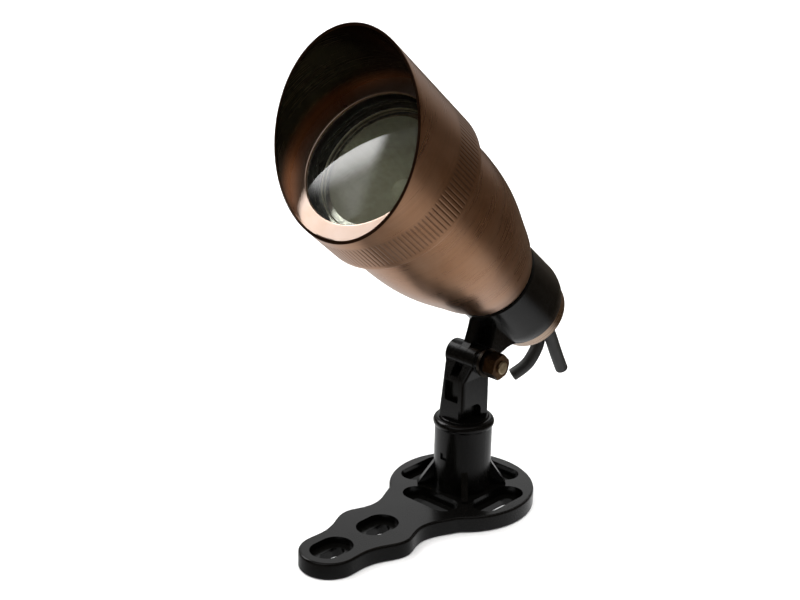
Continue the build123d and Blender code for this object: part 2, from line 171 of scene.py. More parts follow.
def bronze(name, tone, rough, streak_mm=0.5, aniso=0.5, depth=0.16, cloudy=0.10, painted_mouth_shade=None, metal=1.0, relief=0.06, pits=0.22):
    """Turned and brushed copper alloy with a thin brown patina. Brush marks run round the head's axis. An optional
    painted shade darkens the colour along the beam towards the hood's mouth.
    """
    k = Look(name, Metallic=metal, Anisotropic=aniso)
    fine = k.noise(k.head_coords((45, 45, 1000 / streak_mm)), 1.0, 3.0, 0.6)
    coarse = k.noise(k.head_coords((20, 20, 1000 / (streak_mm * 6))), 1.0, 2.0, 0.5)
    cloud = k.noise(k.head_coords(), 55.0, 4.0, 0.55, 0.4)
    spots = k.noise(k.head_coords(), 900.0, 3.0, 0.7, 0.2)
    streak = k.math("ADD", k.math("MULTIPLY", fine, 0.6), k.math("MULTIPLY", coarse, 0.4))
    level = k.math("ADD", k.rescale(streak, 0.34, 0.66, 1.0 - depth, 1.0), k.rescale(cloud, 0.30, 0.70, -cloudy, cloudy))
    level = k.math("SUBTRACT", level, k.rescale(spots, 0.70, 0.82, 0.0, pits))
    worn = k.mix(k.rescale(cloud, 0.34, 0.66, 0.0, 1.0), tuple(c * f for c, f in zip(tone, (1.0, 0.96, 0.91))), tuple(c * f for c, f in zip(tone, (0.98, 1.03, 1.09))))
    shade = k.node("CombineColor", {0: level, 1: level, 2: level}).outputs[0]
    tinted = k.mix(1.0, worn, shade, "MULTIPLY")
    # Painted shade: the colour darkens along the beam towards the hood's mouth, standing in for the dark the inside
    # reflects.
    if painted_mouth_shade:
        height = k.node("SeparateXYZ", {0: k.head_coords()}).outputs[2]
        uneven = k.math("ADD", height, k.rescale(cloud, 0.3, 0.7, -0.0012, 0.0012))
        painted_shade_mask = k.node("MapRange", {"Value": uneven, "From Min": painted_mouth_shade[0] * MM, "From Max": painted_mouth_shade[1] * MM, "To Min": 0.0, "To Max": 1.0},
                      interpolation_type="SMOOTHSTEP").outputs[0]
        tinted = k.mix(painted_shade_mask, tinted, k.mix(1.0, painted_mouth_shade[2], shade, "MULTIPLY"))
    k.set("Base Color", tinted)
    k.set("Roughness", k.math("ADD", k.rescale(streak, 0.3, 0.7, rough - 0.035, rough + 0.05), k.rescale(cloud, 0.3, 0.7, -0.02, 0.02)))
    k.bump(streak, relief, 0.00004)
    if aniso > 0:
        k.set("Tangent", k.round_tangent())
    return k.mat


m_bronze = bronze("brushed_bronze", (0.44, 0.238, 0.136), 0.29, metal=0.965)
m_nut = bronze("bronze_nut", (0.50, 0.37, 0.28), 0.27, aniso=0.0)
m_bronze_band = bronze("bronze_knurl", (0.41, 0.222, 0.127), 0.31, aniso=0.2, metal=0.965)
m_groove = bronze("bronze_groove", (0.33, 0.185, 0.112), 0.36, aniso=0.0)
# Inside of the hood, with painted shade that darkens it towards the mouth.
m_bronze_inner = bronze("bronze_inside", (0.54, 0.28, 0.145), 0.25, streak_mm=0.35, aniso=0.3, painted_mouth_shade=(91.0, 97.4, (0.080, 0.066, 0.048)))
m_lip = bronze("bronze_lip", (0.60, 0.455, 0.375), 0.28, streak_mm=2.6, aniso=0.0, depth=0.08, relief=0.02, pits=0.04)
m_lip_edge = bronze("bronze_lip_edge", (0.62, 0.46, 0.36), 0.34, streak_mm=2.6, aniso=0.0, depth=0.08, relief=0.02, pits=0.04)
# Painted shade: a much darker copy of the bronze for the slanted end and the mouth edge, standing in for the dark they
# reflect.
m_rim_painted_shade = bronze("bronze_rim_painted_shade", (0.12, 0.064, 0.040), 0.32, aniso=0.0)


def polymer(name, tone, rough, grain_mm, bump, gloss=0.5):
    """Moulded black plastic: fine eroded grain, a little mottling and paler rub marks."""
    k = Look(name)
    k.set("Specular IOR Level", gloss)
    o = k.coords()
    grain = k.noise(o, 1000 / grain_mm, 2.0, 0.6)
    mottle = k.noise(o, 60.0, 4.0, 0.6, 0.3)
    rub = k.noise(k.coords((1, 1, 2.5)), 190.0, 5.0, 0.7, 0.6)
    base = k.ramp(mottle, (0.3, tuple(c * 0.78 for c in tone)), (0.7, tuple(c * 1.2 for c in tone)))
    k.set("Base Color", k.mix(k.rescale(rub, 0.64, 0.82, 0.0, 0.30), base, tuple(c * 2.2 for c in tone)))
    k.set("Roughness", k.math("ADD", k.rescale(mottle, 0.3, 0.7, rough - 0.05, rough + 0.05), k.rescale(grain, 0.3, 0.7, -0.04, 0.04)))
    k.bump(grain, bump, 0.00006)
    return k.mat


m_polymer = polymer("moulded_black", (0.0021, 0.0020, 0.0018), 0.22, 0.30, 0.17, 0.24)
m_collar = polymer("moulded_black_smooth", (0.0022, 0.0021, 0.0019), 0.21, 0.24, 0.14, 0.24)
m_rubber = polymer("black_rubber", (0.014, 0.0135, 0.013), 0.62, 0.35, 0.4)


def aged_brass(name, *tones):
    k = Look(name, Metallic=1.0)
    o = k.coords()
    spots = k.noise(o, 420.0, 5.0, 0.62, 0.5)
    turned = k.noise(k.coords((2500, 120, 120)), 1.0, 2.0, 0.5)
    tone = k.ramp(spots, *zip((0.30, 0.52, 0.75), tones))
    k.set("Base Color", k.mix(k.rescale(turned, 0.4, 0.7, 0.0, 0.35), tone, tuple(c * 0.72 for c in tones[1])))
    k.set("Roughness", k.rescale(spots, 0.3, 0.7, 0.42, 0.26))
    k.bump(spots, 0.25, 0.00005)
    return k.mat


m_brass = aged_brass("aged_brass", (0.060, 0.031, 0.016), (0.135, 0.076, 0.037), (0.24, 0.150, 0.076))
m_bolt = aged_brass("worn_brass", (0.30, 0.22, 0.13), (0.44, 0.34, 0.21), (0.56, 0.45, 0.30))


def jacket(name):
    k = Look(name)
    o = k.coords()
    skin = k.noise(o, 2600.0, 3.0, 0.6)
    smear = k.noise(o, 160.0, 4.0, 0.6, 0.5)
    k.set("Base Color", k.ramp(smear, (0.3, (0.013, 0.0127, 0.0123)), (0.7, (0.024, 0.0232, 0.0225))))
    k.set("Roughness", k.rescale(smear, 0.3, 0.7, 0.48, 0.60))
    k.bump(skin, 0.2, 0.00004)
    return k.mat


m_jacket = jacket("lead_jacket")


def strands(name):
    k = Look(name, Metallic=1.0)
    n = k.noise(k.coords(), 3000.0, 2.0)
    k.set("Base Color", k.ramp(n, (0.3, (0.55, 0.23, 0.11)), (0.7, (0.75, 0.36, 0.19))))
    k.set("Roughness", k.rescale(n, 0.3, 0.7, 0.25, 0.38))
    return k.mat


m_strand = strands("copper_strand")


def pane(name, tint, ior, dust, thin=0.45):
    """Clear sheet: reflects on the outside of its faces, lets lamps through, a breath of dust."""
    m = bpy.data.materials.new(name)
    m.use_nodes = True
    t = m.node_tree
    t.nodes.clear()
    out = t.nodes.new("ShaderNodeOutputMaterial")
    clear = t.nodes.new("ShaderNodeBsdfTransparent")
    clear.inputs["Color"].default_value = (*tint, 1.0)
    gloss = t.nodes.new("ShaderNodeBsdfGlossy")
    gloss.inputs["Roughness"].default_value = 0.012
    fres = t.nodes.new("ShaderNodeFresnel")
    fres.inputs["IOR"].default_value = ior
    geo = t.nodes.new("ShaderNodeNewGeometry")
    front = t.nodes.new("ShaderNodeMath")
    front.operation = "SUBTRACT"
    front.inputs[0].default_value = 1.0
    t.links.new(geo.outputs["Backfacing"], front.inputs[1])
    fac = t.nodes.new("ShaderNodeMath")
    fac.operation = "MULTIPLY"
    t.links.new(fres.outputs[0], fac.inputs[0])
    t.links.new(front.outputs[0], fac.inputs[1])
    mix = t.nodes.new("ShaderNodeMixShader")
    t.links.new(fac.outputs[0], mix.inputs[0])
    t.links.new(clear.outputs[0], mix.inputs[1])
    t.links.new(gloss.outputs[0], mix.inputs[2])
    tex = t.nodes.new("ShaderNodeTexCoord")
    speck = t.nodes.new("ShaderNodeTexNoise")
    speck.inputs["Scale"].default_value = 900.0
    speck.inputs["Detail"].default_value = 4.0
    t.links.new(tex.outputs["Object"], speck.inputs["Vector"])
    amount = t.nodes.new("ShaderNodeMapRange")
    for k, v in (("From Min", thin), ("From Max", 0.8), ("To Min", 0.0), ("To Max", dust)):
        amount.inputs[k].default_value = v
    t.links.new(speck.outputs[0], amount.inputs["Value"])
    haze = t.nodes.new("ShaderNodeBsdfDiffuse")
    haze.inputs["Color"].default_value = (0.585, 0.55, 0.445, 1.0)
    film = t.nodes.new("ShaderNodeMixShader")
    t.links.new(amount.outputs[0], film.inputs[0])
    t.links.new(mix.outputs[0], film.inputs[1])
    t.links.new(haze.outputs[0], film.inputs[2])
    t.links.new(film.outputs[0], out.inputs[0])
    return m


m_lens = pane("lens_glass", (0.945, 0.955, 0.925), 1.80, 0.032)
m_cover = pane("lamp_front_glass", (0.93, 0.945, 0.90), 1.30, 0.21, -0.6)


def mirror_coat(name):
    k = Look(name, Metallic=1.0)
    o = k.coords()
    n = k.noise(o, 350.0, 4.0, 0.6)
    k.set("Base Color", k.ramp(n, (0.3, (0.36, 0.37, 0.30)), (0.7, (0.48, 0.49, 0.41))))
    k.set("Roughness", k.rescale(n, 0.3, 0.7, 0.30, 0.42))
    return k.mat


m_reflector = mirror_coat("dichroic_coat")


def plain(name, tone, rough, metallic=0.0, scale=300.0):
    k = Look(name, Metallic=metallic)
    n = k.noise(k.coords(), scale, 4.0, 0.6)
    k.set("Base Color", k.ramp(n, (0.3, tuple(c * 0.85 for c in tone)), (0.7, tuple(min(1, c * 1.12) for c in tone))))
    k.set("Roughness", k.rescale(n, 0.3, 0.7, rough - 0.06, rough + 0.06))
    k.bump(n, 0.1, 0.00005)
    return k.mat


m_ceramic = plain("steatite", (0.62, 0.60, 0.54), 0.45)
m_steel = plain("zinc_steel", (0.52, 0.52, 0.50), 0.32, 1.0, 500.0)
m_bezel = plain("bright_ring", (0.88, 0.87, 0.83), 0.20, 1.0, 600.0)
m_washer = plain("blackened_steel", (0.050, 0.042, 0.034), 0.36, 1.0, 500.0)
m_gasket = polymer("gasket_black", (0.010, 0.010, 0.009), 0.6, 0.35, 0.3)
m_filament = plain("capsule_quartz", (0.50, 0.50, 0.44), 0.22, 0.0, 400.0)


def gloss_spacer(name):
    """Polished dark ring, bright bare metal on its thin inner edge."""
    k = Look(name)
    sep = k.node("SeparateXYZ", {0: k.head_coords()})
    flat = k.node("CombineXYZ", {0: sep.outputs[0], 1: sep.outputs[1]})
    radius = k.node("VectorMath", {0: flat.outputs[0]}, operation="LENGTH").outputs["Value"]
    edge = k.rescale(radius, 0.02318, 0.02324, 1.0, 0.0)
    face = k.rescale(radius, 0.02405, 0.02412, 1.0, 0.0)
    smudge = k.noise(k.head_coords(), 240.0, 4.0, 0.6, 0.3)
    black = k.ramp(smudge, (0.3, (0.003, 0.003, 0.003)), (0.7, (0.007, 0.007, 0.0065)))
    k.set("Base Color", k.mix(edge, k.mix(face, black, (0.44, 0.44, 0.41)), (0.66, 0.63, 0.54)))
    k.set("Metallic", face)
    k.set("Roughness", k.math("ADD", k.rescale(smudge, 0.3, 0.7, 0.06, 0.12), k.math("MULTIPLY", edge, 0.30)))
    k.bump(smudge, 0.04, 0.00004)
    return k.mat


m_spacer = gloss_spacer("polished_spacer")


def dress(node, mat):
    o = nodes[node]
    o.data.materials.clear()
    o.data.materials.append(mat)
    for p in o.data.polygons:
        p.material_index = 0


for node, mat in {
    "base_plate": m_polymer, "knuckle_fork": m_polymer, "swivel_collar": m_collar, "stem_ring": m_rubber,
    "housing_seal": m_rubber, "cable_grommet": m_rubber, "lens_gasket": m_gasket, "lens_ring": m_gasket,
    "lens": m_lens, "lamp_cover": m_cover, "lamp_capsule": m_filament,
    "lamp_base": m_ceramic, "lamp_holder": m_ceramic, "holder_bracket": m_steel, "bracket_screws": m_steel,
    "lamp_pins": m_steel, "lamp_bezel": m_bezel, "holder_leads": m_jacket, "pivot_bolt": m_bolt, "pivot_nut": m_brass,
    "flat_washer": m_washer, "lock_washer": m_washer, "lamp_reflector": m_reflector,
}.items():
    dress(node, mat)

# ---------------------------------------------------------------- leads
LEAD_D = 5.1 * MM
ROUTES = {
    "lead_1": [(-2.75, 36.866, 66.661), (-2.75, 41.099, 62.994), (-2.7, 45.3, 59.0), (-2.8, 47.9, 54.2), (-2.9, 47.5, 48.9),
               (-3.0, 44.4, 44.7), (-4.6, 41.9, 40.3), (-8.05, 38.6, 36.9)],
    "lead_2": [(2.75, 36.866, 66.661), (2.75, 42.611, 61.685), (2.7, 47.3, 54.8), (2.7, 51.6, 46.0), (2.7, 56.2, 37.7)],
}


def strand_end(name, tip, direction):
    """Cut end of a lead: nineteen copper strands flush with the jacket's end."""
    bm = bmesh.new()
    z = direction.normalized()
    x = z.orthogonal().normalized()
    y = z.cross(x)
    spots = [(0.0, 0.0)]
    spots += [(0.42 * math.cos(math.radians(60 * i)), 0.42 * math.sin(math.radians(60 * i))) for i in range(6)]
    spots += [(0.83 * math.cos(math.radians(30 * i + 8)), 0.83 * math.sin(math.radians(30 * i + 8))) for i in range(12)]
    for j, (a, b) in enumerate(spots):
        depth = 0.06 + 0.05 * ((j * 7) % 5) / 4
        rings = []
        for r, h in ((0.195, -0.6), (0.195, depth - 0.04), (0.15, depth)):
            ring = []
            for i in range(10):
                t = math.tau * i / 10
                ring.append(bm.verts.new(tip + (x * (a + r * math.cos(t)) + y * (b + r * math.sin(t)) + z * h) * MM))
            rings.append(ring)
        for lo, hi in zip(rings, rings[1:]):
            for i in range(10):
                bm.faces.new((lo[i], lo[(i + 1) % 10], hi[(i + 1) % 10], hi[i]))
        bm.faces.new(rings[-1])
        bm.faces.new(rings[0][::-1])
    mesh = bpy.data.meshes.new(name)
    bm.to_mesh(mesh)
    bm.free()
    mesh.materials.append(m_strand)
    return link(bpy.data.objects.new(name, mesh))


for name, pts in ROUTES.items():
    curve = bpy.data.curves.new(name + "_wire", "CURVE")
    curve.dimensions = "3D"
    spline = curve.splines.new("NURBS")
    spline.points.add(len(pts) - 1)
    for p, co in zip(spline.points, pts):
        p.co = (*(c * MM for c in co), 1.0)
    spline.order_u = 3
    spline.use_endpoint_u = True
    spline.resolution_u = 12
    curve.bevel_depth = LEAD_D / 2
    curve.bevel_resolution = 8
    curve.use_fill_caps = True
    curve.materials.append(m_jacket)
    wire = link(bpy.data.objects.new(name + "_wire", curve))
    tip, before = Vector(pts[-1]) * MM, Vector(pts[-2]) * MM
    ends = strand_end(name + "_strands", tip, tip - before)
    for piece in (wire, ends):
        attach(piece, "head")
    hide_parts(name)


# ---------------------------------------------------------------- turned pieces
def smooth_mesh(bm, limit=32.0):
    """Smooth faces with crisp edges where the surface turns sharply."""
    for f in bm.faces:
        f.smooth = True
    for e in bm.edges:
        if len(e.link_faces) == 2:
            e.smooth = e.calc_face_angle(0.0) < math.radians(limit)


def arc(c, r, a0, a1, n):
    return [(c[0] + r * math.cos(math.radians(a0 + (a1 - a0) * i / n)), c[1] + r * math.sin(math.radians(a0 + (a1 - a0) * i / n))) for i in range(n + 1)]


def rounded(pts, radii, n=4):
    """Closed (radius, height) profile with its corners rounded."""
    out = []
    count = len(pts)
    for i in range(count):
        p, a, b = Vector(pts[i]), Vector(pts[i - 1]), Vector(pts[(i + 1) % count])
        r = radii[i] if isinstance(radii, (list, tuple)) else radii
        u, v = (a - p), (b - p)
        ang = u.angle(v) if u.length and v.length else math.pi
        if r <= 0 or ang > math.radians(176):
            out.append(tuple(p))
            continue
        d = min(r / math.tan(ang / 2), 0.48 * u.length, 0.48 * v.length)
        s, e = p + u.normalized() * d, p + v.normalized() * d
        for k in range(n + 1):
            t = k / n
            out.append(tuple(s * (1 - t) ** 2 + p * (2 * t * (1 - t)) + e * t ** 2))
    return out


def turned(name, profile, segments, mats, pick=None):
    """Closed ring turned about local z from (radius, height) points in mm, placed in the head frame."""
    bm = bmesh.new()
    rings = []
    for r, s in profile:
        if r < 1e-6:
            rings.append([bm.verts.new((0, 0, s * MM))])
        else:
            rings.append([bm.verts.new((r * MM * math.cos(math.tau * i / segments), r * MM * math.sin(math.tau * i / segments), s * MM))
                          for i in range(segments)])
    n = len(rings)
    for j in range(n):
        a, b = rings[j], rings[(j + 1) % n]
        idx = pick(profile[j], profile[(j + 1) % n]) if pick else 0
        for i in range(segments):
            i2 = (i + 1) % segments
            if len(a) == 1 and len(b) == 1:
                break
            quad = [a[i % len(a)], a[i2 % len(a)], b[i2 % len(b)], b[i % len(b)]]
            quad = list(dict.fromkeys(quad))
            if len(quad) > 2:
                f = bm.faces.new(quad)
                f.material_index = idx
    bmesh.ops.recalc_face_normals(bm, faces=bm.faces)
    smooth_mesh(bm)
    bm.transform(HEAD)
    mesh = bpy.data.meshes.new(name)
    bm.to_mesh(mesh)
    bm.free()
    for m in mats:
        mesh.materials.append(m)
    return link(bpy.data.objects.new(name, mesh))


def spline_profile(pts, t0, t1, n):
    """Smooth (radius, height) curve through points, natural cubic in chord length with end slopes."""
    h = [0.0]
    for a, b in zip(pts, pts[1:]):
        h.append(h[-1] + math.dist(a, b))
    m = len(pts)
    out_axes = []
    for axis in (0, 1):
        y = [p[axis] for p in pts]
        a, bb, c, d = [0.0] * m, [0.0] * m, [0.0] * m, [0.0] * m
        bb[0], c[0], d[0] = 1.0, 0.0, t0[axis]
        bb[-1], a[-1], d[-1] = 1.0, 0.0, t1[axis]
        for i in range(1, m - 1):
            h0, h1 = h[i] - h[i - 1], h[i + 1] - h[i]
            a[i], bb[i], c[i] = h1, 2 * (h0 + h1), h0
            d[i] = 3 * (h1 * (y[i] - y[i - 1]) / h0 + h0 * (y[i + 1] - y[i]) / h1)
        for i in range(1, m):
            w = a[i] / bb[i - 1]
            bb[i] -= w * c[i - 1]
            d[i] -= w * d[i - 1]
        k = [0.0] * m
        k[-1] = d[-1] / bb[-1]
        for i in range(m - 2, -1, -1):
            k[i] = (d[i] - c[i] * k[i + 1]) / bb[i]
        vals = []
        for j in range(n + 1):
            t = h[-1] * j / n
            i = max(i for i in range(m - 1) if h[i] <= t + 1e-12)
            hh = h[i + 1] - h[i]
            s = (t - h[i]) / hh
            vals.append((2 * s ** 3 - 3 * s ** 2 + 1) * y[i] + (s ** 3 - 2 * s ** 2 + s) * hh * k[i]
                        + (-2 * s ** 3 + 3 * s ** 2) * y[i + 1] + (s ** 3 - s ** 2) * hh * k[i + 1])
        out_axes.append(vals)
    return list(zip(*out_axes))


def place(obj, body, slot, *replaced):
    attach(obj, body)
    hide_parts(*replaced)
    return obj


# bullet-shaped body with its neck, lamp chamber and spigot
outer = spline_profile([(16.9, 3.6), (18.6, 7.0), (20.5, 12.0), (22.8, 20.0), (26.1, 32.0), (28.3, 46.0), (28.8, 58.0)],
                       (0.62, 0.78), (0.0, 1.0), 72)
body_pts = ([(16.35, 3.06), (16.62, 3.3)] + outer + [(28.8, 62.0), (28.8, 66.0), (28.8, 69.8)]
            + [(28.8, 70.45), (28.72, 70.72), (28.5, 70.9), (28.0, 70.9), (28.0, 74.2), (26.9, 74.2), (26.9, 75.8), (28.0, 75.8),
               (28.0, 78.6), (27.6, 79.0), (24.4, 79.0), (24.4, 56.0), (22.0, 42.0), (22.0, 30.0), (15.0, 30.0), (13.0, 10.0), (5.5, 8.0),
               (5.5, -28.8), (10.0, -28.8), (10.0, -24.7), (11.7, -24.7), (12.0, -24.4), (12.0, 3.02), (16.1, 3.02)])
place(turned("housing_body", body_pts, 256, [m_bronze]), "head", "bronzed_metal", "housing")

# rear nut, its outer corners rolled over
nut_pts = rounded([(10.05, -24.82), (14.7, -24.82), (14.7, -30.5), (6.17, -30.5), (6.17, -28.85), (10.05, -28.85)],
                  [0.0, 0.35, 1.5, 0.25, 0.0, 0.0], 7)
place(turned("rear_nut_turned", nut_pts, 192, [m_nut]), "head", "bronzed_metal", "rear_nut")

# polished spacer behind the glass, its inner edge rounded
spacer_pts = rounded([(27.7, 86.18), (24.4, 86.18), (24.4, 83.20), (22.8, 83.20), (22.8, 82.62), (27.7, 82.62)],
                     [0.0, 0.05, 0.12, 0.42, 0.0, 0.0], 7)
place(turned("spacer_ring", spacer_pts, 192, [m_spacer]), "shroud", "polished_ring", "lens_spacer")

# ---------------------------------------------------------------- shroud
SHROUD_R, BORE_R = 31.75, 30.8
LIP_R, LIP_S, LIP_T = 24.74, 90.4, 0.8
CUT_S, CUT_SLOPE = 106.0, 0.51
GROOVES = 120
PHASES = ((0.0, 0.0), (0.12, 0.0), (0.25, 0.0), (0.31, 0.015), (0.38, 0.055), (0.45, 0.085), (0.55, 0.085), (0.62, 0.055), (0.69, 0.015), (0.75, 0.0), (0.88, 0.0))
KNURL = ((73.4, 0.0), (73.7, 0.55), (74.1, 0.9), (74.8, 1.0), (79.0, 1.0), (84.6, 1.0), (85.3, 0.9), (85.7, 0.55), (86.0, 0.0))


def shroud_mesh():
    cols = []
    for g in range(GROOVES):
        for ph, depth in PHASES:
            cols.append((math.tau * (g + ph) / GROOVES, depth))
    bm = bmesh.new()
    grid, groups = [], []

    def row(fn, group):
        grid.append([bm.verts.new(fn(th, dep)) for th, dep in cols])
        groups.append(group)

    def at(r, s):
        def fn(th, dep):
            return (r * MM * math.cos(th), r * MM * math.sin(th), s * MM)
        return fn

    def knurled(s, share):
        def fn(th, dep):
            r = SHROUD_R - dep * share
            return (r * MM * math.cos(th), r * MM * math.sin(th), s * MM)
        return fn

    def cut(r, lower, inset=0.0):
        """A point below the slanted end plane, measured along the axis."""
        def fn(th, dep):
            s = CUT_S + CUT_SLOPE * r * math.sin(th) - lower
            return ((r - inset) * MM * math.cos(th), (r - inset) * MM * math.sin(th), s * MM)
        return fn

    def between(r, s0, lower, share):
        """Part of the way from a level ring to the slanted end."""
        def fn(th, dep):
            end = CUT_S + CUT_SLOPE * r * math.sin(th) - lower
            return (r * MM * math.cos(th), r * MM * math.sin(th), (s0 + (end - s0) * share) * MM)
        return fn

    def room(th):
        """Share of the corner rounding that fits where the slanted end comes down to the lip."""
        height = CUT_S + CUT_SLOPE * BORE_R * math.sin(th) - LIP_S
        return max(0.06, min(1.0, height / 0.7))

    def mouth(lower, inset):
        """Inner edge of the slanted end."""
        def fn(th, dep):
            k = room(th)
            s = CUT_S + CUT_SLOPE * BORE_R * math.sin(th) - lower * k
            r = BORE_R + inset * k
            return (r * MM * math.cos(th), r * MM * math.sin(th), s * MM)
        return fn

    def foot(inset, height):
        """Inner corner between the hood's wall and the lip."""
        def fn(th, dep):
            k = room(th)
            level = min(LIP_S, CUT_S + CUT_SLOPE * BORE_R * math.sin(th) - 0.06)
            r = BORE_R - inset * k
            return (r * MM * math.cos(th), r * MM * math.sin(th), (level + height * k) * MM)
        return fn

    def wall(share):
        """Part of the way from the lip's corner to the slanted end."""
        low, high = foot(0.0, 0.0), mouth(0.32, 0.0)

        def fn(th, dep):
            a, b = low(th, dep), high(th, dep)
            return (a[0], a[1], a[2] + (b[2] - a[2]) * share)
        return fn

    # outside, from the rear rim forward
    row(at(28.3, 71.2), 0)
    row(at(31.2, 71.2), 0)
    row(at(31.55, 71.28), 0)
    row(at(31.72, 71.5), 0)
    row(at(SHROUD_R, 71.75), 0)
    row(at(SHROUD_R, 73.0), 1)
    for s, share in KNURL:
        row(knurled(s, share), 1)
    row(at(SHROUD_R, 86.4), 0)
    row(at(SHROUD_R, 88.0), 0)
    for share in (0.12, 0.3, 0.5, 0.7, 0.88):
        row(between(SHROUD_R, 88.0, 0.45, share), 0)
    # The slanted end and its rounding into the mouth take the darker rim bronze, which is painted shade.
    row(cut(SHROUD_R, 0.45), 2)
    row(cut(SHROUD_R, 0.20, 0.06), 2)
    row(cut(SHROUD_R, 0.05, 0.22), 2)
    row(cut(SHROUD_R - 0.36, 0.0), 2)
    row(mouth(0.0, 0.32), 2)
    row(mouth(0.03, 0.16), 2)
    row(mouth(0.14, 0.04), 2)
    row(mouth(0.32, 0.0), 3)
    # inside, down to the lip
    for share in (0.9, 0.7, 0.5, 0.3, 0.1):
        row(wall(share), 3)
    row(foot(0.0, 0.0), 7)
    row(at(30.50, LIP_S), 4)
    row(at(30.40, LIP_S), 4)
    row(at(28.6, LIP_S), 4)
    row(at(26.8, LIP_S), 4)
    row(at(LIP_R + 0.52, LIP_S), 4)
    row(at(LIP_R + 0.42, LIP_S), 4)
    row(at(LIP_R + 0.26, LIP_S - 0.03), 6)
    row(at(LIP_R + 0.12, LIP_S - 0.12), 6)
    row(at(LIP_R + 0.03, LIP_S - 0.26), 6)
    row(at(LIP_R, LIP_S - 0.42), 6)
    row(at(LIP_R, LIP_S - LIP_T), 3)
    row(at(27.8, LIP_S - LIP_T), 3)
    row(at(27.8, 79.6), 3)
    row(at(28.3, 79.6), 3)
    n = len(cols)
    corner = []
    for j in range(len(grid)):
        a, b = grid[j], grid[(j + 1) % len(grid)]
        for i in range(n):
            i2 = (i + 1) % n
            f = bm.faces.new((a[i], a[i2], b[i2], b[i]))
            f.material_index = min(groups[j], 6)
            if groups[j] == 7:
                f.material_index = 4
                corner.append(f)
            if groups[j] == 1:
                low = min(v.co.xy.length for v in f.verts) / MM
                if low < SHROUD_R - 0.05:
                    f.material_index = 5
    bmesh.ops.recalc_face_normals(bm, faces=bm.faces)
    smooth_mesh(bm, 38.0)
    for f in corner:
        f.smooth = False
    bm.transform(HEAD)
    mesh = bpy.data.meshes.new("shroud_shell")
    bm.to_mesh(mesh)
    bm.free()
    for m in (m_bronze, m_bronze_band, m_rim_painted_shade, m_bronze_inner, m_lip, m_groove, m_lip_edge):
        mesh.materials.append(m)
    return link(bpy.data.objects.new("shroud_shell", mesh))


place(shroud_mesh(), "shroud", "bronzed_metal", "shroud")


# ---------------------------------------------------------------- lamp reflector
def reflector_mesh():
    """Pressed glass bowl of a two-inch lamp, its inside in rings of small flats."""
    segs, flats = 144, 36
    outside = spline_profile([(9.4, 51.1), (11.6, 53.4), (17.0, 60.4), (21.2, 67.4), (23.6, 73.05)], (0.5, 0.86), (0.3, 0.95), 20)
    inside = spline_profile([(22.2, 73.9), (19.4, 67.6), (15.4, 60.6), (10.4, 54.4), (7.0, 52.4)], (-0.3, -0.95), (-0.8, -0.6), 9)
    rim = [(25.3, 73.05), (25.3, 75.4), (25.0, 75.8), (23.5, 75.8), (23.5, 74.2), (22.2, 74.2)]
    prof = [(r, s, 0) for r, s in outside] + [(r, s, 0) for r, s in rim] + [(r, s, 1) for r, s in inside] + [(7.0, 51.1, 0)]
    bm = bmesh.new()
    rings = []
    for r, s, kind in prof:
        ring = []
        for i in range(segs):
            th = math.tau * i / segs
            rr = r
            if kind:
                w = (i * flats / segs) % 1.0
                rr = r * math.cos(math.pi / flats) / math.cos((w - 0.5) * math.tau / flats) * 1.002
            ring.append(bm.verts.new((rr * MM * math.cos(th), rr * MM * math.sin(th), (s + LAMP_S) * MM)))
        rings.append(ring)
    for j in range(len(rings)):
        a, b = rings[j], rings[(j + 1) % len(rings)]
        for i in range(segs):
            i2 = (i + 1) % segs
            bm.faces.new((a[i], a[i2], b[i2], b[i]))
    bmesh.ops.recalc_face_normals(bm, faces=bm.faces)
    smooth_mesh(bm, 8.0)
    bm.transform(HEAD)
    mesh = bpy.data.meshes.new("lamp_bowl")
    bm.to_mesh(mesh)
    bm.free()
    mesh.materials.append(m_reflector)
    return link(bpy.data.objects.new("lamp_bowl", mesh))


place(reflector_mesh(), "head", "reflector_glass", "lamp_reflector")


# ---------------------------------------------------------------- stage
def flat_card(name, centre, x_dir, y_dir, width, height):
    mesh = bpy.data.meshes.new(name)
    c, x, y = Vector(centre), Vector(x_dir).normalized(), Vector(y_dir).normalized()
    w, h = width / 2, height / 2
    mesh.from_pydata([(-w, -h, 0), (w, -h, 0), (w, h, 0), (-w, h, 0)], [], [(0, 1, 2, 3)])
    obj = link(bpy.data.objects.new(name, mesh))
    z = x.cross(y)
    obj.matrix_world = Matrix(((x.x, y.x, z.x, c.x), (x.y, y.y, z.y, c.y), (x.z, y.z, z.z, c.z), (0, 0, 0, 1)))
    return obj


def glow(name, build, warm=None):
    """Emission material; build(tree) returns the strength socket or a number. Dim parts can take a warm colour."""
    m = bpy.data.materials.new(name)
    m.use_nodes = True
    t = m.node_tree
    t.nodes.clear()
    out = t.nodes.new("ShaderNodeOutputMaterial")
    em = t.nodes.new("ShaderNodeEmission")
    t.links.new(em.outputs[0], out.inputs[0])
    s = build(t)
    if isinstance(s, bpy.types.NodeSocket):
        t.links.new(s, em.inputs["Strength"])
    else:
        em.inputs["Strength"].default_value = s
    if warm:
        t.links.new(warmth(t, s, warm), em.inputs["Color"])
    return m


def warmth(t, strength, warm):
    """Warm where it is dim, white where it is bright."""
    level = t.nodes.new("ShaderNodeMapRange")
    t.links.new(strength, level.inputs["Value"])
    for k, v in (("From Min", 0.06), ("From Max", 0.32), ("To Min", 0.0), ("To Max", 1.0)):
        level.inputs[k].default_value = v
    n = t.nodes.new("ShaderNodeMix")
    n.data_type = "RGBA"
    t.links.new(level.outputs[0], n.inputs[0])
    n.inputs[6].default_value = (*warm, 1.0)
    n.inputs[7].default_value = (1.0, 1.0, 1.0, 1.0)
    return n.outputs[2]


